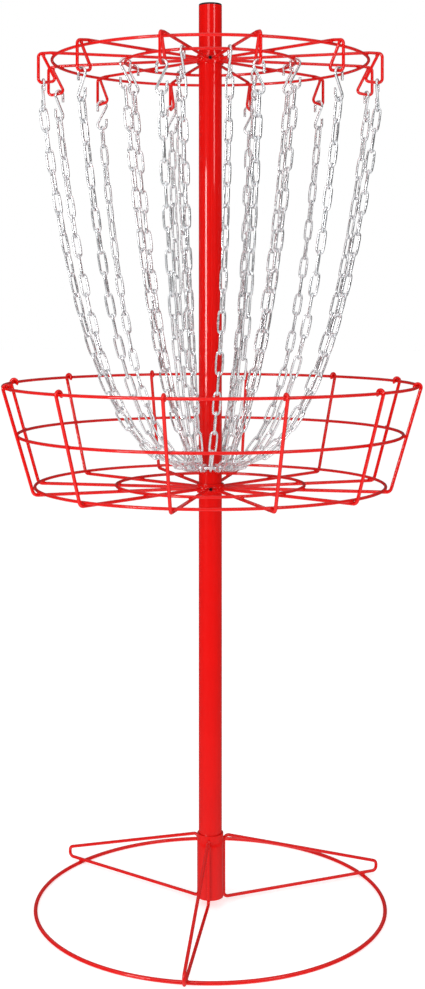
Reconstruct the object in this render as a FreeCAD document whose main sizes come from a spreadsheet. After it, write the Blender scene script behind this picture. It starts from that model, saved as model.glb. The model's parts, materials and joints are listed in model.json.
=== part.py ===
import FreeCAD, Part
import math
import os
import re
import Sketcher

# A portable disc golf basket: a steel pole in a wire ground stand, a wire tray that
# catches the disc, and a wire crown that hangs two circles of chains round the pole.
# Millimetres, +Z up, the origin on the ground under the pole. Azimuths are degrees
# from the front (-Y), positive towards the right (+X).

DIMENSIONS = [
    # pole
    ("pole_radius", 18.0, "outside of both pole tubes"),
    ("pole_wall", 1.5, "tube wall"),
    ("pole_top", 1397.0, "top of the upper tube"),
    ("pole_seam", 640.0, "where the upper tube stands on the lower one"),
    ("spigot_length", 60.0, "reduced end of the lower tube, inside the upper one"),
    ("slide_gap", 0.3, "radial clearance of everything that slides on or in a tube"),
    ("seat_gap", 0.05, "clearance under a tube that stands on a seat"),
    ("cap_radius", 17.9, "flange of the end cap"),
    ("cap_flange", 3.0, "thickness of the end cap's flange"),
    ("cap_plug", 15.0, "length of the end cap's plug"),
    # ground stand
    ("base_ring_radius", 270.0, "centre line of the ground ring"),
    ("base_wire_radius", 2.9, "wire of the ground ring"),
    ("leg_wire_radius", 2.5, "wire of the three legs"),
    ("leg_tip_radius", 294.0, "how far the legs reach"),
    ("leg_tip_rise", 15.0, "height of the bend at a leg's tip"),
    ("leg_top", 106.0, "upper inside corner of a leg"),
    ("leg_bend", 7.0, "bend radius of a leg, to the centre line"),
    ("leg_azimuth", -7.0, "the front leg"),
    ("socket_radius", 20.3, "outside of the pole socket"),
    ("socket_bottom", 13.0, "underside of the pole socket"),
    ("socket_top", 112.0, "mouth of the pole socket"),
    ("socket_floor", 3.0, "thickness of the plate that the pole stands on"),
    # tray
    ("tray_wire_radius", 2.6, "wire of the ribs"),
    ("tray_ring_wire_radius", 2.4, "wire of the four rings"),
    ("tray_azimuth", 3.7, "turn of the tray on the pole"),
    ("floor_height", 648.0, "centre line of the ribs in the floor"),
    ("rim_radius", 320.0, "centre line of the rim ring"),
    ("rim_height", 808.0, "centre line of the rim ring"),
    ("middle_height", 733.0, "centre line of the middle ring"),
    ("floor_outer_radius", 271.0, "centre line of the outer floor ring"),
    ("floor_inner_radius", 146.0, "centre line of the inner floor ring"),
    ("rib_lean", 16.3, "outward lean of the ribs, degrees"),
    ("rib_bend", 8.0, "bend radius at the foot of a rib"),
    ("rib_eye_turn", 235.0, "how far a rib's end curls over the rim, degrees"),
    ("weld_gap", 0.1, "root gap that a weld fills"),
    ("hub_radius", 21.0, "outside of both hub collars"),
    ("hub_height", 14.0, "height of both hub collars"),
    # crown
    ("crown_wire_radius", 2.35, "wire of the spokes and rings"),
    ("spoke_height", 1313.7, "centre line of the spokes"),
    ("crown_outer_radius", 245.0, "centre line of the outer crown ring"),
    ("crown_inner_radius", 132.0, "centre line of the inner crown ring"),
    ("spoke_knee", 249.0, "where a spoke starts to droop"),
    ("spoke_droop", 6.0, "droop of a spoke's end, degrees"),
    ("spoke_knee_bend", 30.0, "bend radius of the droop"),
    ("hanger_radius", 268.5, "drop of a hanger"),
    ("hanger_bottom", 1267.0, "outer bottom corner of a hanger"),
    ("hanger_rise", 8.6, "slope of a hanger's bottom, degrees"),
    ("hanger_width", 27.5, "length of a hanger's bottom, corner to corner"),
    ("hanger_return", 62.0, "slope of a hanger's return, degrees"),
    ("hanger_return_top", 1307.2, "end of a hanger's return"),
    ("hanger_bend", 6.0, "bend radius of a hanger's outer corners"),
    ("hanger_inner_bend", 5.0, "bend radius of a hanger's inner corner"),
    # set screws
    ("screw_radius", 2.5, "set screw"),
    ("screw_length", 6.0, "set screw"),
    ("screw_socket_radius", 1.45, "hexagon socket, to its corners"),
    ("screw_socket_depth", 2.5, "hexagon socket"),
    ("tray_screw_azimuth", 2.0, "the tray's set screw"),
    # hooks and chains
    ("hook_wire_radius", 2.0, "wire of an S-hook"),
    ("hook_height", 51.0, "an S-hook, end to end"),
    ("hook_width", 19.0, "an S-hook, side to side"),
    ("hook_tip", 10.0, "straight end of an S-hook, past its bend"),
    ("hook_gap", 0.2, "clearance under an S-hook's bend, on its wire"),
    ("link_wire_radius", 1.75, "wire of a link"),
    ("link_inner_length", 31.95, "opening of a link, end to end"),
    ("link_width", 14.0, "outside width of a link"),
    ("link_play", 0.25, "slack between two links"),
    ("end_play", 0.3, "more slack, at each end of a chain"),
    ("collector_radius", 27.0, "centre line of the ring that joins the chains"),
    ("collector_wire_radius", 2.3, "wire of that ring"),
    ("collector_height", 681.0, "centre line of that ring"),
]

RIB_COUNT = 12
RIB_SPACING = 360.0 / RIB_COUNT
OUTER_LINKS = 20
INNER_LINKS = 19
LEG_NAMES = ("front", "left", "right")
# Outer hooks, round from the front: distance from the pole's axis, and turn in degrees.
OUTER_HOOKS = [
    (260, 0), (260, 0), (261, 0), (259, 0), (257, 0), (258, 0),
    (258, 0), (257, -25), (250, 150), (261, 0), (260, 180), (260, 180),
]
# Inner chains: azimuth of the hook on the inner crown ring, and of the foot on the collector.
INNER_CHAINS = [
    (-18, -30), (12.5, 0), (-83, -90), (-113, -120),
    (83, 90), (111, 120), (-157, -150), (147, 150),
]

doc = FreeCAD.newDocument("disc_golf_basket")
sheet = doc.addObject("Spreadsheet::Sheet", "Dimensions")
size = {}
for row, (alias, value, note) in enumerate(DIMENSIONS, start=1):
    sheet.set(f"A{row}", str(value))
    sheet.setAlias(f"A{row}", alias)
    sheet.set(f"B{row}", note)
    size[alias] = value
doc.recompute()

exported = []


def bound(text):
    """The expression with each alias written as a cell of the sheet."""
    return re.sub(r"\b(?!(?:cos|sin|tan)\()[a-z]\w+", lambda word: "Dimensions." + word.group(0), text)


def worth(text):
    """The number that such an expression stands for."""
    return float(sheet.evalExpression(bound(text)))


def facing(azimuth, base=FreeCAD.Vector(0, 0, 0)):
    """A placement that turns +X to the azimuth."""
    return FreeCAD.Placement(base, FreeCAD.Rotation(FreeCAD.Vector(0, 0, 1), azimuth - 90))


def out_at(azimuth, radius, height):
    """The point at that azimuth, distance from the pole's axis, and height."""
    angle = math.radians(azimuth)
    return FreeCAD.Vector(radius * math.sin(angle), -radius * math.cos(angle), height)


def keep(thing, label):
    """Name a finished sub-part and list it for export."""
    thing.Label = label
    exported.append(thing)
    return thing


def new_body(name, azimuth=90):
    body = doc.addObject("PartDesign::Body", name)
    body.Placement = facing(azimuth)
    return body


def new_sketch(body, name, plane, offset=0.0):
    sketch = body.newObject("Sketcher::SketchObject", name)
    origin_plane = next(item for item in body.Origin.OriginFeatures if item.Role == plane)
    sketch.AttachmentSupport = [(origin_plane, "")]
    sketch.MapMode = "FlatFace"
    sketch.AttachmentOffset = FreeCAD.Placement(FreeCAD.Vector(0, 0, offset), FreeCAD.Rotation())
    return sketch


def pin_point(sketch, geometry, point, corner):
    """Hold a point of the sketch at a corner given as two expressions."""
    for kind, axis, text in (("DistanceX", -2, corner[0]), ("DistanceY", -1, corner[1])):
        value = worth(text)
        if abs(value) < 1e-9:
            sketch.addConstraint(Sketcher.Constraint("PointOnObject", geometry, point, axis))
            continue
        index = sketch.addConstraint(Sketcher.Constraint(kind, -1, 1, geometry, point, value))
        sketch.setExpression(f"Constraints[{index}]", bound(text))


def turned_body(name, corners):
    """A body of revolution about Z, from a closed outline of (radius, height) expressions."""
    body = new_body(name)
    sketch = new_sketch(body, name + "_outline", "XZ_Plane")
    points = [FreeCAD.Vector(worth(across), worth(up), 0) for across, up in corners]
    for index, point in enumerate(points):
        sketch.addGeometry(Part.LineSegment(point, points[(index + 1) % len(points)]), False)
    for index, corner in enumerate(corners):
        following = (index + 1) % len(corners)
        sketch.addConstraint(Sketcher.Constraint("Coincident", index, 2, following, 1))
        pin_point(sketch, index, 1, corner)
    turn = body.newObject("PartDesign::Revolution", name + "_turn")
    turn.Profile = sketch
    turn.ReferenceAxis = (sketch, ["V_Axis"])
    turn.Angle = 360.0
    sketch.Visibility = False
    return body


def ring(label, radius, wire, height):
    """A wire ring, level, round the pole's axis."""
    torus = doc.addObject("Part::Torus", label)
    torus.setExpression("Radius1", bound(radius))
    torus.setExpression("Radius2", bound(wire))
    torus.setExpression("Placement.Base.z", bound(height))
    return keep(torus, label)


def wire_path(sketch, start, heading, moves):
    """Draw a bent wire's centre line as the bending machine makes it: feed, bend, feed.

    A feed is a length. A bend is a (radius, degrees) pair, positive to the left.
    """
    here = FreeCAD.Vector(start[0], start[1], 0)
    previous_end = None
    for move in moves:
        along = FreeCAD.Vector(math.cos(heading), math.sin(heading), 0)
        if isinstance(move, tuple):
            radius, degrees = move
            side = 1 if degrees > 0 else -1
            turn = math.radians(degrees)
            left = FreeCAD.Vector(-along.y, along.x, 0)
            centre = here + left * (radius * side)
            first = heading - side * math.pi / 2
            last = first + turn
            circle = Part.Circle(centre, FreeCAD.Vector(0, 0, 1), radius)
            arc = Part.ArcOfCircle(circle, min(first, last), max(first, last))
            index = sketch.addGeometry(arc, False)
            here = centre + FreeCAD.Vector(math.cos(last), math.sin(last), 0) * radius
            heading += turn
            ends = (1, 2) if side > 0 else (2, 1)
            sketch.addConstraint(Sketcher.Constraint("Tangent", *previous_end, index, ends[0]))
            sketch.addConstraint(Sketcher.Constraint("Radius", index, radius))
            sketch.addConstraint(Sketcher.Constraint("Angle", index, abs(turn)))
        else:
            there = here + along * move
            index = sketch.addGeometry(Part.LineSegment(here, there), False)
            ends = (1, 2)
            if previous_end:
                sketch.addConstraint(Sketcher.Constraint("Tangent", *previous_end, index, 1))
            else:
                level = "Horizontal" if abs(along.y) < 0.5 else "Vertical"
                sketch.addConstraint(Sketcher.Constraint(level, index))
                sketch.addConstraint(Sketcher.Constraint("DistanceX", -1, 1, index, 1, start[0]))
                if abs(start[1]) > 1e-9:
                    sketch.addConstraint(Sketcher.Constraint("DistanceY", -1, 1, index, 1, start[1]))
                else:
                    sketch.addConstraint(Sketcher.Constraint("PointOnObject", index, 1, -1))
            sketch.addConstraint(Sketcher.Constraint("Distance", index, move))
            here = there
        previous_end = (index, ends[1])


def bent_wire(name, azimuth, wire, start, rising, moves):
    """A wire swept along its centre line, in the upright plane at the azimuth.

    It starts at start, (radius, height), and sets off upwards if rising, else outwards.
    """
    body = new_body(name, azimuth)
    path = new_sketch(body, name + "_path", "XZ_Plane")
    wire_path(path, start, math.pi / 2 if rising else 0.0, moves)
    if rising:
        section = new_sketch(body, name + "_section", "XY_Plane", start[1])
        middle = FreeCAD.Vector(start[0], 0, 0)
    else:
        section = new_sketch(body, name + "_section", "YZ_Plane", start[0])
        middle = FreeCAD.Vector(0, start[1], 0)
    section.addGeometry(Part.Circle(middle, FreeCAD.Vector(0, 0, 1), size[wire]), False)
    index = section.addConstraint(Sketcher.Constraint("Radius", 0, size[wire]))
    section.setExpression(f"Constraints[{index}]", bound(wire))
    pipe = body.newObject("PartDesign::AdditivePipe", name + "_sweep")
    pipe.Profile = section
    pipe.Spine = path
    path.Visibility = False
    section.Visibility = False
    return body


def corner_length(radius, degrees):
    """How far a bend starts before its corner."""
    return radius * math.tan(math.radians(abs(degrees)) / 2)


# ---- pole -------------------------------------------------------------------------

def make_pole():
    """Two tubes and a cap. The lower tube's reduced end holds the upper tube."""
    inside = "pole_radius - pole_wall"
    spigot = "pole_radius - pole_wall - slide_gap"
    foot = "socket_bottom + socket_floor + seat_gap"
    keep(turned_body("lower_pole", [
        (inside, foot),
        ("pole_radius", foot),
        ("pole_radius", "pole_seam"),
        (spigot, "pole_seam"),
        (spigot, "pole_seam + spigot_length"),
        (spigot + " - pole_wall", "pole_seam + spigot_length"),
        (spigot + " - pole_wall", "pole_seam - 4 * pole_wall"),
        (inside, "pole_seam - 6 * pole_wall"),
    ]), "lower_pole")
    keep(turned_body("upper_pole", [
        (inside, "pole_seam + seat_gap"),
        ("pole_radius", "pole_seam + seat_gap"),
        ("pole_radius", "pole_top"),
        (inside, "pole_top"),
    ]), "upper_pole")
    cap = turned_body("pole_end_cap", [
        ("0", "pole_top - cap_plug"),
        (inside + " - seat_gap", "pole_top - cap_plug"),
        (inside + " - seat_gap", "pole_top"),
        ("cap_radius", "pole_top"),
        ("cap_radius", "pole_top + cap_flange"),
        ("0", "pole_top + cap_flange"),
    ])
    doc.recompute()
    top = size["pole_top"] + size["cap_flange"]
    turned = cap.Tip
    rim = [f"Edge{i}" for i, edge in enumerate(turned.Shape.Edges, 1) if edge.BoundBox.ZMin > top - 0.01]
    rounding = cap.newObject("PartDesign::Fillet", "pole_end_cap_rounding")
    rounding.Base = (turned, rim)
    rounding.setExpression("Radius", bound("cap_flange / 2"))
    keep(cap, "pole_end_cap")


# ---- ground stand -----------------------------------------------------------------

def make_stand():
    """A ground ring, three bent-wire legs, and the socket that the pole stands in."""
    ring("base_ring", "base_ring_radius", "base_wire_radius", "base_wire_radius")
    inside = "pole_radius + slide_gap"
    keep(turned_body("base_socket", [
        ("0", "socket_bottom"),
        ("socket_radius", "socket_bottom"),
        ("socket_radius", "socket_top"),
        (inside, "socket_top"),
        (inside, "socket_bottom + socket_floor"),
        ("0", "socket_bottom + socket_floor"),
    ]), "base_socket")

    bend = size["leg_bend"]
    inner = size["socket_radius"] + size["leg_wire_radius"]
    low = 2 * size["base_wire_radius"] + size["leg_wire_radius"]
    high = low + size["leg_tip_rise"]
    middle = (size["leg_top"] + low) / 2
    reach = size["leg_tip_radius"] - inner
    slope = math.degrees(math.atan2(size["leg_top"] - high, reach))
    sloping = math.hypot(size["leg_top"] - high, reach)
    top_corner = corner_length(bend, 90 + slope)
    tip_corner = corner_length(bend, 90 - slope)
    moves = [
        size["leg_top"] - middle - top_corner, (bend, -(90 + slope)),
        sloping - top_corner - tip_corner, (bend, -(90 - slope)),
        size["leg_tip_rise"] - tip_corner - bend, (bend, -90),
        reach - 2 * bend, (bend, -90),
        middle - low - bend,
    ]
    for count, name in enumerate(LEG_NAMES):
        azimuth = size["leg_azimuth"] + (0, -120, 120)[count]
        label = "leg_" + name
        keep(bent_wire(label, azimuth, "leg_wire_radius", (inner, middle), True, moves), label)


# ---- hubs and set screws ----------------------------------------------------------

def make_hub(name, height, screw_azimuth):
    """A collar that slides on the pole, tapped for one set screw, and its screw."""
    bottom = height + " - hub_height / 2"
    top = height + " + hub_height / 2"
    inside = "pole_radius + slide_gap"
    body = turned_body(name + "_hub", [
        (inside, bottom), ("hub_radius", bottom), ("hub_radius", top), (inside, top),
    ])
    body.Placement = facing(screw_azimuth)
    doc.recompute()
    tapping = new_sketch(body, name + "_tapping", "YZ_Plane", size["pole_radius"])
    tapped = "screw_radius + seat_gap"
    centre = FreeCAD.Vector(0, worth(height), 0)
    tapping.addGeometry(Part.Circle(centre, FreeCAD.Vector(0, 0, 1), worth(tapped)), False)
    index = tapping.addConstraint(Sketcher.Constraint("Radius", 0, worth(tapped)))
    tapping.setExpression(f"Constraints[{index}]", bound(tapped))
    before = body.Shape.Volume
    pocket = body.newObject("PartDesign::Pocket", name + "_tapped_hole")
    pocket.Profile = tapping
    pocket.Reversed = True
    pocket.setExpression("Length", bound("hub_radius - pole_radius + 1"))
    doc.recompute()
    wall = size["hub_radius"] - size["pole_radius"] - size["slide_gap"]
    if body.Shape.Volume > before - wall * size["screw_radius"] ** 2:
        raise RuntimeError(name + ": the screw hole cuts nothing")
    keep(body, name + "_hub")

    shank = doc.addObject("Part::Cylinder", name + "_screw_shank")
    shank.setExpression("Radius", bound("screw_radius"))
    shank.setExpression("Height", bound("screw_length"))
    socket = doc.addObject("Part::Prism", name + "_screw_socket")
    socket.Polygon = 6
    socket.setExpression("Circumradius", bound("screw_socket_radius"))
    socket.setExpression("Height", bound("screw_socket_depth + 1"))
    socket.setExpression("Placement.Base.z", bound("screw_length - screw_socket_depth"))
    screw = doc.addObject("Part::Cut", name + "_set_screw")
    screw.Base = shank
    screw.Tool = socket
    outwards = FreeCAD.Rotation(FreeCAD.Vector(0, 0, 1), out_at(screw_azimuth, 1, 0))
    seat = size["pole_radius"] + size["seat_gap"]
    screw.Placement = FreeCAD.Placement(out_at(screw_azimuth, seat, worth(height)), outwards)
    keep(screw, name + "_set_screw")


# ---- tray -------------------------------------------------------------------------

def make_tray():
    """Twelve ribs, each one wire from the hub to the rim, on four rings."""
    eye = "(tray_wire_radius + tray_ring_wire_radius + weld_gap)"
    # The upright touches the circle of the eye here, outside the rim ring.
    touch_radius = f"(rim_radius + {eye} * cos(rib_lean))"
    touch_height = f"(rim_height - {eye} * sin(rib_lean))"
    foot_radius = f"{touch_radius} - ({touch_height} - floor_height) * tan(rib_lean)"
    foot_turn = 90 - size["rib_lean"]
    foot_corner = corner_length(size["rib_bend"], foot_turn)
    upright = worth(f"({touch_height} - floor_height) / cos(rib_lean)")
    start = (size["hub_radius"], size["floor_height"])
    moves = [
        worth(foot_radius) - foot_corner - start[0], (size["rib_bend"], foot_turn),
        upright - foot_corner, (worth(eye), size["rib_eye_turn"]),
    ]
    for count in range(RIB_COUNT):
        azimuth = size["tray_azimuth"] + (count + 0.5) * RIB_SPACING
        label = f"tray_rib_{count + 1:02d}"
        keep(bent_wire(label, azimuth, "tray_wire_radius", start, False, moves), label)

    # The middle ring lies inside the leaning ribs.
    rib_at_middle = f"{touch_radius} - ({touch_height} - middle_height) * tan(rib_lean)"
    middle_radius = f"{rib_at_middle} - {eye} / cos(rib_lean)"
    on_the_floor = "floor_height + tray_wire_radius + tray_ring_wire_radius"
    ring("tray_floor_inner_ring", "floor_inner_radius", "tray_ring_wire_radius", on_the_floor)
    ring("tray_floor_outer_ring", "floor_outer_radius", "tray_ring_wire_radius", on_the_floor)
    ring("tray_middle_ring", middle_radius, "tray_ring_wire_radius", "middle_height")
    ring("tray_rim_ring", "rim_radius", "tray_ring_wire_radius", "rim_height")
    make_hub("tray", "floor_height", size["tray_screw_azimuth"])


# ---- crown ------------------------------------------------------------------------

def make_crown():
    """Twelve spokes in six opposite pairs, each ending in a hanger, under them two rings."""
    droop = size["spoke_droop"]
    past_knee = size["hanger_radius"] - size["spoke_knee"]
    apex = size["spoke_height"] - past_knee * math.tan(math.radians(droop))
    bend = size["hanger_bend"]
    inner_bend = size["hanger_inner_bend"]
    rise = size["hanger_rise"]
    return_turn = 180 - rise - size["hanger_return"]
    inner_corner_height = size["hanger_bottom"] + size["hanger_width"] * math.sin(math.radians(rise))
    returning = size["hanger_return_top"] - inner_corner_height
    going_back = returning / math.sin(math.radians(size["hanger_return"]))
    to_apex = past_knee / math.cos(math.radians(droop))
    knee_corner = corner_length(size["spoke_knee_bend"], droop)
    apex_corner = corner_length(bend, 90 - droop)
    bottom_corner = corner_length(bend, 90 + rise)
    inner_corner = corner_length(inner_bend, return_turn)
    start = (size["hub_radius"], size["spoke_height"])
    moves = [
        size["spoke_knee"] - knee_corner - start[0], (size["spoke_knee_bend"], -droop),
        to_apex - knee_corner - apex_corner, (bend, -(90 - droop)),
        apex - size["hanger_bottom"] - apex_corner - bottom_corner, (bend, -(90 + rise)),
        size["hanger_width"] - bottom_corner - inner_corner, (inner_bend, -return_turn),
        going_back - inner_corner,
    ]
    for pair in range(RIB_COUNT // 2):
        azimuth = (pair - 2.5) * RIB_SPACING
        label = f"crown_spokes_{pair + 1}"
        spokes = []
        for side, turn in (("a", 0), ("b", 180)):
            name = f"{label}{side}"
            spokes.append(bent_wire(name, azimuth + turn, "crown_wire_radius", start, False, moves))
        both = doc.addObject("Part::Compound", label)
        both.Links = spokes
        keep(both, label)

    under_spokes = "spoke_height - 2 * crown_wire_radius"
    ring("crown_outer_ring", "crown_outer_radius", "crown_wire_radius", under_spokes)
    ring("crown_inner_ring", "crown_inner_radius", "crown_wire_radius", under_spokes)
    make_hub("crown", "spoke_height", 0)


# ---- hooks and chains -------------------------------------------------------------

def make_link():
    """One oval link, upright, its centre at the origin. The chains are copies of it."""
    bend = size["link_width"] / 2 - size["link_wire_radius"]
    straight = size["link_inner_length"] + 2 * size["link_wire_radius"] - 2 * bend
    moves = [straight / 2, (bend, 180), straight, (bend, 180), straight / 2]
    body = bent_wire("chain_link", 90, "link_wire_radius", (bend, 0), True, moves)
    doc.recompute()
    return body.Shape


def make_hook():
    """One S-hook, upright, its centre at the origin and its upper tip on the +X side."""
    bend = size["hook_width"] / 2 - size["hook_wire_radius"]
    centre_height = size["hook_height"] / 2 - size["hook_wire_radius"] - bend
    # The slanting middle touches both bends.
    slant = math.degrees(math.asin(bend / centre_height))
    middle = 2 * math.sqrt(centre_height ** 2 - bend ** 2)
    tip = size["hook_tip"]
    moves = [tip, (bend, 180 + slant), middle, (bend, -(180 + slant)), tip]
    body = bent_wire("s_hook", 90, "hook_wire_radius", (bend, centre_height - tip), True, moves)
    doc.recompute()
    return body.Shape


def hang_hook(hook, azimuth, radius, wire_height, turn):
    """A copy of the hook over a crown wire. Returns it and where a chain hangs in it."""
    over_the_wire = size["crown_wire_radius"] + size["hook_gap"] + size["hook_wire_radius"]
    top = wire_height + over_the_wire + size["hook_wire_radius"]
    middle = top - size["hook_height"] / 2
    copy = hook.copy()
    copy.Placement = facing(turn, out_at(azimuth, radius, middle))
    head = out_at(azimuth, radius, top - size["hook_height"] + size["hook_wire_radius"])
    return copy, head


def catenary(span, rise, length):
    """Points along a chain of that length hung over that span and rise, by arc length."""
    target = math.sqrt(length ** 2 - rise ** 2)
    low, high = 1.0, 100000.0
    smallest = span / 600  # sinh overflows below this
    while high - low > 1e-9 * high:
        scale = (low + high) / 2
        if scale < smallest or 2 * scale * math.sinh(span / (2 * scale)) > target:
            low = scale
        else:
            high = scale
    lowest = span / 2 - scale * math.atanh(rise / length)
    before = scale * math.sinh(-lowest / scale)
    floor = -scale * math.cosh(-lowest / scale)

    def at(distance):
        across = lowest + scale * math.asinh((before + distance) / scale)
        return FreeCAD.Vector(across, 0, floor + scale * math.cosh((across - lowest) / scale))
    return at


def make_chain(label, link, link_count, foot, head, link_azimuth):
    """A hung chain from foot, on the collector, to head. Each link turns on the last.

    link_azimuth is where the flat of the top link points, across its hook.
    """
    level = FreeCAD.Vector(head.x - foot.x, head.y - foot.y, 0)
    direction = math.degrees(math.atan2(level.x, -level.y))
    pitch = size["link_inner_length"] - size["link_play"]
    # Each end link goes round a wire, so it reaches past the wire's centre line.
    past_foot = size["collector_wire_radius"] + size["end_play"]
    past_head = size["hook_wire_radius"] + size["end_play"]
    length = link_count * pitch - past_foot - past_head
    at = catenary(level.Length, head.z - foot.z, length)
    joints = [at(count * pitch - past_foot) for count in range(1, link_count)]
    joints.insert(0, at(0) + (at(0) - at(1)) * past_foot)
    joints.append(at(length) + (at(length) - at(length - 1)) * past_head)
    # The foot link lies in the chain's upright plane, and the others turn evenly up to the top.
    steps = link_count - 1
    head_turn = link_azimuth - direction
    turn_step = 90 + (-head_turn - steps * 90) % 180 / steps
    links = []
    for count in range(link_count):
        lower = joints[count]
        upper = joints[count + 1]
        along = upper - lower
        turn = head_turn + turn_step * (steps - count)
        lay = FreeCAD.Rotation(FreeCAD.Vector(0, 1, 0), math.degrees(math.atan2(along.x, along.z)))
        spin = FreeCAD.Rotation(FreeCAD.Vector(0, 0, 1), turn)
        copy = link.copy()
        copy.Placement = FreeCAD.Placement((lower + upper) / 2, lay.multiply(spin))
        links.append(copy)
    chain = doc.addObject("Part::Feature", label)
    chain.Shape = Part.makeCompound(links)
    chain.Placement = facing(direction, foot)
    return keep(chain, label)


def make_chains():
    """A circle of chains from the hangers, one from the inner ring, and their collector."""
    ring("chain_collector_ring", "collector_radius", "collector_wire_radius", "collector_height")
    link = make_link()
    hook = make_hook()
    outer_hooks = []
    for count, (radius, turn) in enumerate(OUTER_HOOKS):
        azimuth = (count + 0.5) * RIB_SPACING
        inwards = size["hanger_radius"] - radius
        wire_height = size["hanger_bottom"] + inwards * math.tan(math.radians(size["hanger_rise"]))
        copy, head = hang_hook(hook, azimuth, radius, wire_height, azimuth + 90 + turn)
        outer_hooks.append(copy)
        foot = out_at(azimuth, size["collector_radius"], size["collector_height"])
        label = f"outer_chain_{count + 1:02d}"
        make_chain(label, link, OUTER_LINKS, foot, head, azimuth + turn)
    inner_hooks = []
    ring_height = size["spoke_height"] - 2 * size["crown_wire_radius"]
    for count, (azimuth, foot_azimuth) in enumerate(INNER_CHAINS, start=1):
        radius = size["crown_inner_radius"]
        copy, head = hang_hook(hook, azimuth, radius, ring_height, azimuth + 180)
        inner_hooks.append(copy)
        foot = out_at(foot_azimuth, size["collector_radius"], size["collector_height"])
        make_chain(f"inner_chain_{count}", link, INNER_LINKS, foot, head, azimuth + 90)
    for label, hooks in (("outer_s_hooks", outer_hooks), ("inner_s_hooks", inner_hooks)):
        group = doc.addObject("Part::Feature", label)
        group.Shape = Part.makeCompound(hooks)
        keep(group, label)


make_stand()
make_pole()
make_tray()
make_crown()
make_chains()
doc.recompute()

for thing in doc.Objects:
    if "Invalid" in thing.State or "Error" in thing.State:
        raise RuntimeError(f"{thing.Label}: {thing.State}")
for thing in exported:
    if thing.Shape.isNull() or not thing.Shape.isValid() or not thing.Shape.Solids:
        raise RuntimeError(f"{thing.Label}: bad shape")

os.makedirs("parts", exist_ok=True)
for thing in exported:
    thing.Shape.exportStep(f"parts/{thing.Label}.step")
print(len(exported), "nodes written")
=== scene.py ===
# %% [markdown]
# # A portable disc golf basket
# The real object is a steel pole in a wire ground stand. A wire tray round the pole catches
# the disc, and a wire crown above it hangs two circles of zinc-plated chain. The tubes, bent
# wires, collars, screws and hooks already have their true shape in the frame, so they stay and
# only get a finish. This script makes what such a plan leaves plain: the links of the chains,
# with the weld on one side of each, and the weld beads that hold the wires together.

import json
import math

import bmesh
import bpy
import numpy as np
from mathutils import Matrix, Vector

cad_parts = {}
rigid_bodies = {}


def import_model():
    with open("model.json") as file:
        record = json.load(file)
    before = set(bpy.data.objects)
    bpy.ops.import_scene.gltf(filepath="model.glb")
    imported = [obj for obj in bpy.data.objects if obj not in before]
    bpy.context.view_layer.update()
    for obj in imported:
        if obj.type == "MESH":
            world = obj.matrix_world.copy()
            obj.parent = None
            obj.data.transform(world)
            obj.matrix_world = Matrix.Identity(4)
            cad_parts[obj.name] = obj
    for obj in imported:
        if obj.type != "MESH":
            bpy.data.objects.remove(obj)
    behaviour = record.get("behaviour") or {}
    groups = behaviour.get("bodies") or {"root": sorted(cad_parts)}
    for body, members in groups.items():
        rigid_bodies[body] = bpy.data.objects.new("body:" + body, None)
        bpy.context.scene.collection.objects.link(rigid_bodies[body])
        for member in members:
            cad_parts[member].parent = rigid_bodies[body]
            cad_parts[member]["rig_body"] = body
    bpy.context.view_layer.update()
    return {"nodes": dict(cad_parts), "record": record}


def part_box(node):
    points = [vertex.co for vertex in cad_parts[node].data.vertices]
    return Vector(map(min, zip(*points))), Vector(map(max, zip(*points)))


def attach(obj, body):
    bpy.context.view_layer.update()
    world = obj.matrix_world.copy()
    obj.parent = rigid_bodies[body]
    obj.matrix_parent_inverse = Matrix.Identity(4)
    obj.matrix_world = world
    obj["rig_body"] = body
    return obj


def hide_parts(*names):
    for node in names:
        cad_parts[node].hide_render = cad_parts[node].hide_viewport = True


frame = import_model()
nodes = frame["nodes"]

# %% [markdown]
# ## The camera
# The basket is twice as tall as it is wide, so an upright picture from a little over two
# metres suits it. Tilting the camera would make the pole lean, so it looks level and the
# picture is shifted down, as a view camera's back is. The other views keep that shift, so it
# is only as large as the framing needs.

# %% Camera
EYE_DISTANCE = 2.284
EYE_HEIGHT = 0.944

lens = bpy.data.cameras.new("camera")
lens.lens = 53.44
lens.sensor_width = 36.0
lens.shift_x = 0.0022
lens.shift_y = -0.1994
camera = bpy.data.objects.new("camera", lens)
camera.location = (0.0, -EYE_DISTANCE, EYE_HEIGHT)
camera.rotation_euler = (math.radians(90), 0.0, 0.0)
bpy.context.collection.objects.link(camera)
bpy.context.scene.camera = camera
bpy.context.scene.view_settings.view_transform = "Standard"
print("camera:", EYE_DISTANCE, "m away,", EYE_HEIGHT, "m up")

# %% [markdown]
# ## Shader maths
# Every finish below is a small sum of noise patterns. Written as nodes and links, such a sum
# takes a dozen lines, and nobody can read it back. So one class wraps a socket and gives it
# Python's operators, and another holds the one method that adds a node: its settings first,
# then the value or the link of each socket.

# %% Sockets that can be added and multiplied
class Signal:
    """The output of a node. Python's operators on it add Math nodes."""

    def __init__(self, tree, socket):
        self.tree = tree
        self.socket = socket

    def maths(self, operation, first, second):
        return self.tree.add("Math", {"operation": operation}, {0: first, 1: second})

    def __add__(self, other):
        return self.maths("ADD", self, other)

    def __rsub__(self, other):
        return self.maths("SUBTRACT", other, self)

    def __mul__(self, other):
        return self.maths("MULTIPLY", self, other)

    __radd__ = __add__
    __rmul__ = __mul__


class NodeTree:
    """The cleared node tree of a material or of the world."""

    def __init__(self, owner):
        owner.use_nodes = True
        self.tree = owner.node_tree
        self.tree.nodes.clear()

    def add(self, kind, settings, sockets, output=0):
        """A new node: its settings first, then the value or the link of each socket."""
        made = self.tree.nodes.new("ShaderNode" + kind)
        for name, value in settings.items():
            setattr(made, name, value)
        for name, value in sockets.items():
            if isinstance(value, Signal):
                self.tree.links.new(value.socket, made.inputs[name])
            else:
                made.inputs[name].default_value = value
        return Signal(self, made.outputs[output]) if made.outputs else None


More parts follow.
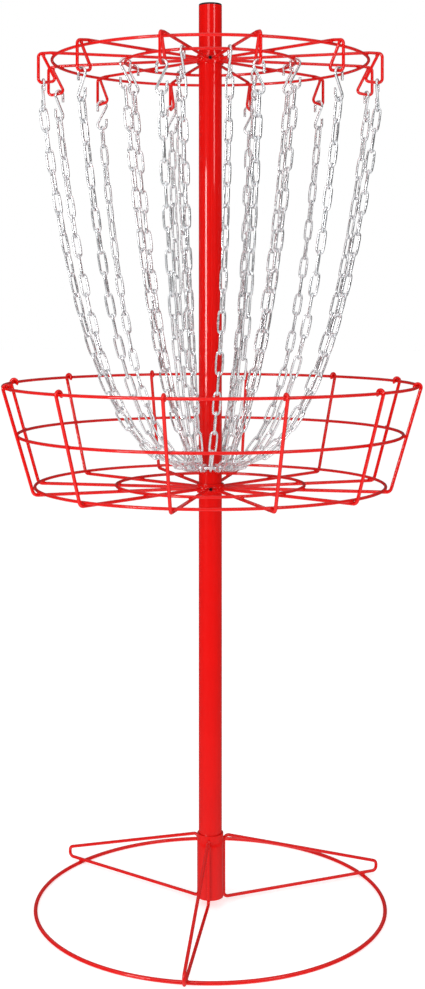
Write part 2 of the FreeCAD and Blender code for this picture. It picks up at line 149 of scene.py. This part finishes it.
# %% The patterns that the finishes share
SMOOTH = {"interpolation_type": "SMOOTHSTEP"}


class Finish(NodeTree):
    """A material whose patterns lie on the piece's own coordinates, in metres."""

    def __init__(self, name):
        self.material = bpy.data.materials.new(name)
        super().__init__(self.material)
        self.where = self.add("TexCoord", {}, {}, "Object")

    def noise(self, per_metre, detail=2.0):
        """Cloudy noise, 0 to 1, with about that many blotches to a metre."""
        sockets = {"Vector": self.where, "Scale": per_metre, "Detail": detail}
        return self.add("TexNoise", {}, sockets, "Fac")

    def between(self, share, low, high):
        """A value that goes from 0 to 1 as share goes from low to high."""
        sockets = {"Value": share, "From Min": low, "From Max": high}
        return self.add("MapRange", SMOOTH, sockets)

    def colours(self, share, first, second):
        """A colour between two others."""
        sockets = {0: share, 6: (*first, 1.0), 7: (*second, 1.0)}
        return self.add("Mix", {"data_type": "RGBA"}, sockets, 2)

    def bumps(self, height, depth, strength):
        """The normal of a surface that rises and falls by depth, in metres."""
        sockets = {"Height": height, "Distance": depth, "Strength": strength}
        return self.add("Bump", {}, sockets)

    def done(self, sockets):
        surface = self.add("BsdfPrincipled", {}, sockets)
        self.add("OutputMaterial", {}, {"Surface": surface})
        print("finish:", self.material.name, "with", len(self.tree.nodes), "nodes")
        return self.material


# %% [markdown]
# ## Red powder coat
# The wires and tubes are sprayed with dry powder and baked, so the powder melts into one
# thick, hard, glossy skin. It never flows out quite flat: it keeps a fine orange peel, about a
# millimetre across, which blurs the edge of every highlight. Its colour is even, a little
# deeper where the skin is thick. A clear coat over the base gives the sharp part of the gloss.

# %% Red powder coat
def red_powder_coat():
    finish = Finish("gloss_red_powder")
    thickness = finish.noise(9.0, 3.0)
    peel = finish.noise(750.0, 1.0)
    dust = finish.between(finish.noise(2400.0, 1.0), 0.66, 0.74)
    return finish.done({
        "Base Color": finish.colours(thickness, (0.60, 0.0016, 0.0008), (0.74, 0.0034, 0.0017)),
        "Roughness": 0.30 + 0.12 * peel + 0.2 * dust,
        "Specular IOR Level": 0.05,
        "Coat Weight": 0.8,
        "Coat Roughness": 0.05,
        "Normal": finish.bumps(peel, 0.00010, 0.12),
    })


# %% [markdown]
# ## Bright zinc
# Chain and hooks are tumbled in a zinc bath after welding. The coat is thin and bright, with a
# faint blue cast, and it is a little dull where links have rubbed in the barrel. A metal has
# no colour but its reflections, so most of its look is the roughness: patches of two
# smoothnesses, and fine draw marks from the wire. The clear film over the zinc scatters a
# little light of its own, so the finish is not quite all metal.

# %% Bright zinc
def zinc_plate():
    finish = Finish("bright_zinc")
    patches = finish.noise(160.0, 3.0)
    rubbed = finish.between(patches, 0.42, 0.62)
    marks = finish.noise(1400.0, 2.0)
    return finish.done({
        "Base Color": finish.colours(rubbed, (0.95, 0.96, 0.98), (0.84, 0.86, 0.88)),
        "Metallic": 0.9,
        "Roughness": 0.17 + 0.12 * rubbed + 0.06 * marks,
        "Normal": finish.bumps(marks, 0.00006, 0.35),
    })


# %% [markdown]
# ## Black oxide and black plastic
# The set screws are hardened steel, blackened in a hot salt bath: still a metal, but dark and
# oily. The cap in the pole's mouth is moulded polyethylene. Both are black, so only the
# roughness tells them apart: the screw's is low and patchy, the plastic's high and even, with
# the fine grain of the mould.

# %% Black oxide and black plastic
def black_oxide():
    finish = Finish("blackened_steel")
    oil = finish.noise(900.0, 2.0)
    return finish.done({
        "Base Color": finish.colours(oil, (0.020, 0.020, 0.023), (0.050, 0.049, 0.050)),
        "Metallic": 0.8,
        "Roughness": 0.25 + 0.2 * oil,
    })


def black_plastic():
    finish = Finish("moulded_black")
    grain = finish.noise(1800.0, 2.0)
    scuffs = finish.between(finish.noise(140.0, 3.0), 0.55, 0.72)
    return finish.done({
        "Base Color": finish.colours(scuffs, (0.010, 0.010, 0.011), (0.022, 0.022, 0.023)),
        "Roughness": 0.50 + 0.12 * scuffs,
        "Specular IOR Level": 0.25,
        "Normal": finish.bumps(grain, 0.00008, 0.3),
    })


# %% Give every node of the frame its finish
finishes = {
    "red_powder_coat": red_powder_coat(),
    "zinc_plate": zinc_plate(),
    "black_oxide": black_oxide(),
    "black_plastic": black_plastic(),
}
for part in frame["record"]["subparts"]:
    materials = nodes[part["node"]].data.materials
    materials.clear()
    materials.append(finishes[part["material_slot"]])


# %% [markdown]
# ## One chain link
# A link is a length of round wire, bent round a form until its ends meet at the middle of one
# side and butt-welded there, which leaves a low swelling. There are about four hundred links,
# so one is modelled as a six-sided cage of a few dozen faces, and a Subdivision Surface makes
# the wire round. The cage is a ring of points that is extruded up one side, spun over the top,
# extruded down and spun back to its start. Subdividing draws a ring of points inwards by an
# amount that depends on the turn from point to point, so the cage is made that much larger.

# %% One link
SIDES = 6
BEND_STEPS = 4
PAST_THE_BEND = 1.001
WELD_REACH = 0.0022
WELD_SWELL = 1.22


def drawn_in(turn):
    """How small a subdivided ring of points gets, when the ring turns that much a point."""
    return (2 + math.cos(turn)) / 3


def moved_on(bm, edges, rise):
    """Extrude a loop of edges along Z. Returns the new points and edges."""
    made = bmesh.ops.extrude_edge_only(bm, edges=edges)["geom"]
    verts = [item for item in made if isinstance(item, bmesh.types.BMVert)]
    loop = [item for item in made if isinstance(item, bmesh.types.BMEdge) and item.is_boundary]
    bmesh.ops.translate(bm, verts=verts, vec=(0.0, 0.0, rise))
    return verts, loop


def spun_over(bm, geometry, height):
    """Spin a loop half a turn in the link's own plane, about that height."""
    made = bmesh.ops.spin(
        bm, geom=geometry, cent=(0.0, 0.0, height), axis=(0.0, -1.0, 0.0),
        angle=math.pi, steps=BEND_STEPS,
    )
    return made["geom_last"]


def link_mesh(length, width, wire):
    """A link of those outside sizes, upright, its middle at the origin."""
    bend = (width - wire) / 2
    half = (length - wire) / 2 - bend
    bm = bmesh.new()
    bmesh.ops.create_circle(
        bm, segments=SIDES, radius=wire / 2 / drawn_in(math.tau / SIDES),
        matrix=Matrix.Translation((bend, 0.0, -half)),
    )
    loop = bm.edges[:]
    rings = []
    for rise in (half - WELD_REACH, WELD_REACH, WELD_REACH, half - WELD_REACH):
        verts, loop = moved_on(bm, loop, rise)
        rings.append(verts)
    swell = (WELD_SWELL, WELD_SWELL, 1.0)
    bmesh.ops.scale(bm, vec=swell, verts=rings[1], space=Matrix.Translation((-bend, 0.0, 0.0)))
    top = spun_over(bm, rings[-1] + loop, half)
    loop = [item for item in top if isinstance(item, bmesh.types.BMEdge)]
    verts, loop = moved_on(bm, loop, -2 * half)
    spun_over(bm, verts + loop, -half)
    bmesh.ops.remove_doubles(bm, verts=bm.verts, dist=wire / 100)
    outwards = 1 / drawn_in(math.pi / BEND_STEPS)
    for end in (half, -half):
        beyond = [vert for vert in bm.verts if vert.co.z / end > PAST_THE_BEND]
        centre = Matrix.Translation((0.0, 0.0, -end))
        bmesh.ops.scale(bm, vec=(outwards, 1.0, outwards), verts=beyond, space=centre)
    bmesh.ops.recalc_face_normals(bm, faces=bm.faces)
    mesh = bpy.data.meshes.new("chain_link")
    bm.to_mesh(mesh)
    bm.free()
    return mesh


# %% [markdown]
# ## The place of each link
# The frame holds every chain as loose triangles, and each link must lie exactly where the
# frame has it, or the chains would miss their hooks. A copy of a chain's mesh is merged, and
# its points are walked from neighbour to neighbour, so each walk collects one link. The three
# directions in which its points spread least, more and most are the link's thickness, width
# and length, and the middle of the spread is its centre.

# %% Find the links of a chain
MERGE_WITHIN = 1e-6
SIDEWAYS = (1.0, 0.6, 0.3)


def joined_groups(mesh):
    """The points of each joined group in a copy of the mesh, as arrays."""
    bm = bmesh.new()
    bm.from_mesh(mesh)
    bmesh.ops.remove_doubles(bm, verts=bm.verts, dist=MERGE_WITHIN)
    groups = []
    for seed in bm.verts:
        if seed.tag:
            continue
        seed.tag = True
        group = [seed]
        for vert in group:
            for edge in vert.link_edges:
                other = edge.other_vert(vert)
                if not other.tag:
                    other.tag = True
                    group.append(other)
        groups.append(np.array([vert.co for vert in group]))
    bm.free()
    return groups


def lie_of(points):
    """How a link lies, as a matrix, and its thickness, width and length."""
    middle = points.mean(axis=0)
    axes = np.linalg.eigh(np.cov((points - middle).T))[1]
    across, along = axes[:, 1], axes[:, 2]
    along = along * math.copysign(1.0, along[2])
    across = across * math.copysign(1.0, across @ SIDEWAYS)
    axes = np.column_stack((across, np.cross(along, across), along))
    spread = (points - middle) @ axes
    low, high = spread.min(axis=0), spread.max(axis=0)
    place = Matrix(axes.tolist()).to_4x4()
    place.translation = Vector(middle + axes @ ((low + high) / 2))
    width, thickness, length = high - low
    return place, (thickness, width, length)


# %% [markdown]
# ## The chains
# Each chain is one piece that rides on its own body, because that body sways on its hook. The
# links of a real chain have their welds on either side as they come, so every third link is
# turned half round. The piece stands for the frame's plain chain, which is hidden.

# %% Chains
WELDS_REPEAT = 3


def new_piece(bm, name, body, slot):
    """Turn a finished bmesh into a smooth piece that rides on a body."""
    mesh = bpy.data.meshes.new(name)
    bm.to_mesh(mesh)
    bm.free()
    mesh.shade_smooth()
    mesh.materials.append(finishes[slot])
    piece = bpy.data.objects.new(name, mesh)
    bpy.context.collection.objects.link(piece)
    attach(piece, body)
    return piece


def chain_piece(node, link, lies):
    """The chain of one node, a copy of the link at each place."""
    bm = bmesh.new()
    for count, place in enumerate(sorted(lies, key=lambda lie: lie.translation.z)):
        first = len(bm.verts)
        bm.from_mesh(link)
        bm.verts.ensure_lookup_table()
        if count % WELDS_REPEAT == 1:
            place = place @ Matrix.Rotation(math.pi, 4, "Z")
        bmesh.ops.transform(bm, matrix=place, verts=bm.verts[first:])
    piece = new_piece(bm, node + "_links", nodes[node]["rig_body"], "zinc_plate")
    rounding = piece.modifiers.new("round_wire", "SUBSURF")
    rounding.levels = 1
    rounding.render_levels = 1
    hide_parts(node)
    return piece


chain_nodes = sorted(name for name in nodes if name.startswith(("outer_chain", "inner_chain")))
link = None
link_count = 0
for node in chain_nodes:
    measured = [lie_of(points) for points in joined_groups(nodes[node].data)]
    if link is None:
        thickness, width, length = measured[0][1]
        link = link_mesh(length, width, thickness)
        print("link:", len(link.polygons), "faces,", round(length * 1000, 1), "mm long")
    chain_piece(node, link, [place for place, sizes in measured])
    link_count += len(measured)
print("chains:", len(chain_nodes), "with", link_count, "links")


# %% [markdown]
# ## Weld beads
# Wires that cross are held in a clamp and fused by a current, which squeezes a little metal
# out all round the crossing. Wire ends on a collar or a tube get a short bead from a torch.
# Neither is a fillet that a modifier could find, because the wires are separate nodes. Small
# squashed spheres at the crossings read as both, and one mesh for each body keeps them few.

# %% Measure the wires
FAR_SHARE = 0.97
UNEVENNESS = 0.1


def ring_sizes(node):
    """A wire ring's radius to its centre line, its height, and the radius of its wire."""
    low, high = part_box(node)
    wire = (high.z - low.z) / 2
    return (high.x - low.x) / 2 - wire, (high.z + low.z) / 2, wire


def reaches(node):
    """Every point's level place, and its distance from the pole's axis."""
    places = np.array([vert.co for vert in nodes[node].data.vertices])[:, :2]
    return places, np.hypot(places[:, 0], places[:, 1])


def ways_out(node):
    """The level directions in which a node reaches furthest from the pole."""
    places, reach = reaches(node)
    far = places[reach > FAR_SHARE * reach.max()]
    ways = []
    while len(far):
        beside = far @ far[0] > 0
        ways.append(Vector((*far[beside].mean(axis=0), 0.0)).normalized())
        far = far[~beside]
    return ways


def add_bead(bm, way, radius, height, size):
    """A squashed round bead, its size given outwards, sideways and upwards."""
    turn = Matrix.Rotation(math.atan2(way.y, way.x), 4, "Z")
    place = Matrix.Translation(way * radius + Vector((0.0, 0.0, height)))
    uneven = 1.0 + UNEVENNESS * math.sin(len(bm.verts))
    squash = Matrix.Diagonal((*(side * uneven for side in size), 1.0))
    bmesh.ops.create_icosphere(bm, subdivisions=2, radius=1.0, matrix=place @ turn @ squash)


# %% Sizes of the beads, outwards, sideways and upwards
FLAT_CROSSING = (0.0032, 0.0032, 0.0015)
UPRIGHT_CROSSING = (0.0015, 0.0032, 0.0032)
WIRE_END = (0.0017, 0.0042, 0.0042)
HANGER_END = (0.0032, 0.0027, 0.0022)
LEG_END = (0.0022, 0.0036, 0.0100)


# %% Welds of the tray
def tray_welds():
    bm = bmesh.new()
    low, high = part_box("tray_hub")
    for node in sorted(name for name in nodes if name.startswith("tray_rib_")):
        for way in ways_out(node):
            add_bead(bm, way, (high.x - low.x) / 2, (low.z + high.z) / 2, WIRE_END)
            for ring in ("tray_floor_inner_ring", "tray_floor_outer_ring"):
                radius, height, wire = ring_sizes(ring)
                add_bead(bm, way, radius, height - wire, FLAT_CROSSING)
            for ring in ("tray_middle_ring", "tray_rim_ring"):
                radius, height, wire = ring_sizes(ring)
                add_bead(bm, way, radius + wire, height, UPRIGHT_CROSSING)
    return new_piece(bm, "tray_welds", "tray", "red_powder_coat")


# %% Welds of the crown
HANGER_INSIDE = 0.0100
HANGER_BELOW = 0.0050


def crown_welds():
    bm = bmesh.new()
    low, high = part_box("crown_hub")
    spoke_height = (low.z + high.z) / 2
    for node in sorted(name for name in nodes if name.startswith("crown_spokes_")):
        for way in ways_out(node):
            add_bead(bm, way, (high.x - low.x) / 2, spoke_height, WIRE_END)
            for ring in ("crown_inner_ring", "crown_outer_ring"):
                radius, height, wire = ring_sizes(ring)
                add_bead(bm, way, radius, height + wire, FLAT_CROSSING)
            hanger_end = reaches(node)[1].max() - HANGER_INSIDE
            add_bead(bm, way, hanger_end, spoke_height - HANGER_BELOW, HANGER_END)
    return new_piece(bm, "crown_welds", "crown", "red_powder_coat")


# %% Welds of the ground stand
LEG_END_SHARES = (0.2, 0.84)


def base_welds():
    bm = bmesh.new()
    low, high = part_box("base_socket")
    for node in sorted(name for name in nodes if name.startswith("leg_")):
        for way in ways_out(node):
            radius, height, wire = ring_sizes("base_ring")
            add_bead(bm, way, radius, height + wire, FLAT_CROSSING)
            for share in LEG_END_SHARES:
                height = low.z + (high.z - low.z) * share
                add_bead(bm, way, (high.x - low.x) / 2, height, LEG_END)
    return new_piece(bm, "base_welds", "base", "red_powder_coat")


for weld in (tray_welds(), crown_welds(), base_welds()):
    print(weld.name + ":", len(weld.data.polygons), "faces")


# %% [markdown]
# ## Floor, backdrop and light
# The basket stands on a pale floor in front of a white sweep. A glossy red tube mirrors
# whatever faces it, so a white room all round would wash the red out. Here the sweep is a dome
# that only the camera sees, and what the gloss and the metal mirror is a darker studio: bright
# high up and low down, dim at eye level and dimmer behind. The long white streak on the pole is
# the left softbox, and the fainter one near the top is the right. A lamp above the camera adds
# the band under the cap, and a broad fill from the right has no reflection of its own.

# %% Floor and backdrop
ROOM_RADIUS = 24.0


def stage_piece(bm, name, material):
    """A piece of the studio, which isn't part of the basket."""
    mesh = bpy.data.meshes.new(name)
    bm.to_mesh(mesh)
    bm.free()
    mesh.materials.append(material)
    piece = bpy.data.objects.new(name, mesh)
    bpy.context.collection.objects.link(piece)
    piece.visible_glossy = False
    return piece


def pale_floor():
    finish = Finish("pale_floor")
    mottle = finish.noise(3.0)
    return finish.done({
        "Base Color": finish.colours(mottle, (0.86, 0.86, 0.86), (0.90, 0.90, 0.90)),
        "Roughness": 0.9,
        "Specular IOR Level": 0.1,
        "Emission Color": (1.0, 1.0, 1.0, 1.0),
        "Emission Strength": 0.5,
    })


def white_sweep():
    finish = Finish("white_sweep")
    glow = finish.add("Emission", {}, {"Color": (1.0, 1.0, 1.0, 1.0), "Strength": 1.0})
    finish.add("OutputMaterial", {}, {"Surface": glow})
    return finish.material


bm = bmesh.new()
bmesh.ops.create_circle(bm, cap_ends=True, segments=128, radius=ROOM_RADIUS)
stage_piece(bm, "floor", pale_floor())
bm = bmesh.new()
bmesh.ops.create_uvsphere(bm, u_segments=64, v_segments=32, radius=ROOM_RADIUS)
bmesh.ops.reverse_faces(bm, faces=bm.faces)
dome = stage_piece(bm, "dome", white_sweep())
dome.visible_diffuse = False
dome.visible_shadow = False
print("stage: floor and dome,", ROOM_RADIUS, "m")

# %% What the gloss and the metal mirror
EYE_LEVEL = 0.05
HIGH_AND_LOW = 0.95
BEHIND_LOSS = 0.6

studio = bpy.data.worlds.new("studio")
bpy.context.scene.world = studio
sky = NodeTree(studio)
heading = sky.add("TexCoord", {}, {}, "Generated")
upwards = sky.add("SeparateXYZ", {}, {"Vector": heading}, "Z")
backwards = sky.add("SeparateXYZ", {}, {"Vector": heading}, "Y")
steep = sky.add("Math", {"operation": "ABSOLUTE"}, {0: upwards})
bright = sky.add("MapRange", SMOOTH, {"Value": steep, "From Min": 0.22, "From Max": 0.55})
behind = sky.add("MapRange", SMOOTH, {"Value": backwards, "From Min": -0.3, "From Max": 0.3})
brightness = EYE_LEVEL + HIGH_AND_LOW * bright * (1.0 - BEHIND_LOSS * behind)
sheen = sky.add("Background", {}, {"Color": (1.0, 1.0, 1.0, 1.0), "Strength": brightness})
sky.add("OutputWorld", {}, {"Surface": sheen})
print("world:", len(sky.tree.nodes), "nodes")

# %% Lamps
AIM = Vector((0.0, 0.0, 0.95))


def softbox(name, azimuth, distance, height, wide, high, radiance):
    """A rectangular lamp at an azimuth from the front, turned to the basket."""
    angle = math.radians(azimuth)
    lamp = bpy.data.lights.new(name, "AREA")
    lamp.shape = "RECTANGLE"
    lamp.size = wide
    lamp.size_y = high
    lamp.energy = radiance * math.pi * wide * high
    made = bpy.data.objects.new(name, lamp)
    made.location = (distance * math.sin(angle), -distance * math.cos(angle), height)
    made.rotation_euler = (AIM - made.location).to_track_quat("-Z", "Y").to_euler()
    bpy.context.collection.objects.link(made)
    print("lamp:", name, round(lamp.energy), "W")
    return made


# Degrees from the front, metres away, metres up, metres wide, metres high, radiance
softbox("left_softbox", -43.6, 3.0, 1.0, 0.85, 0.8, 16.0)
softbox("right_softbox", 40.4, 3.0, 1.68, 0.7, 0.66, 5.2)
softbox("crown_softbox", -18.0, 2.3, 2.1, 0.9, 0.85, 2.4)
fill = softbox("fill", 35.0, 3.5, 1.0, 2.0, 2.0, 1.2)
fill.visible_glossy = False
